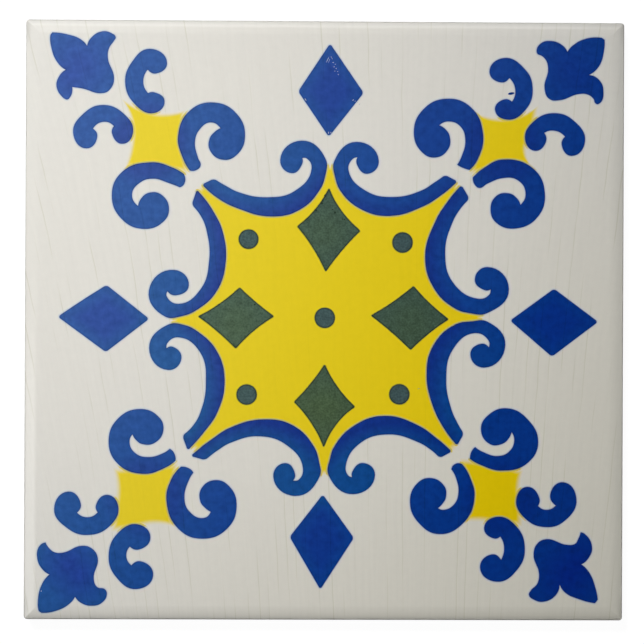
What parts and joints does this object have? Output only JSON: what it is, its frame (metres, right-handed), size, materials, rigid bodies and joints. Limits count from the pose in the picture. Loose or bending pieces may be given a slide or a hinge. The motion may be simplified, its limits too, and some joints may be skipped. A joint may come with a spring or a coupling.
{
  "type": "azulejo tile",
  "caption": "Square azulejo wall tile with a softly crowned, glazed and stencil-painted face, leaning sides and a waffle-keyed back that beds into mortar.",
  "frame": {"origin": "middle of the back, in the plane of the ribs that the tile rests and beds on", "axes": "+Z out of the glazed face, +X and +Y along the sides; +Y is the picture's up"},
  "size_m": [0.14, 0.14, 0.008],
  "materials": {
    "white_glaze": "gloss",
    "blue_glaze": "gloss",
    "yellow_glaze": "gloss",
    "green_glaze": "gloss",
    "biscuit": "matte"
  },
  "bodies": {
    "root": {"tile": "white_glaze"}
  },
  "joints": []
}
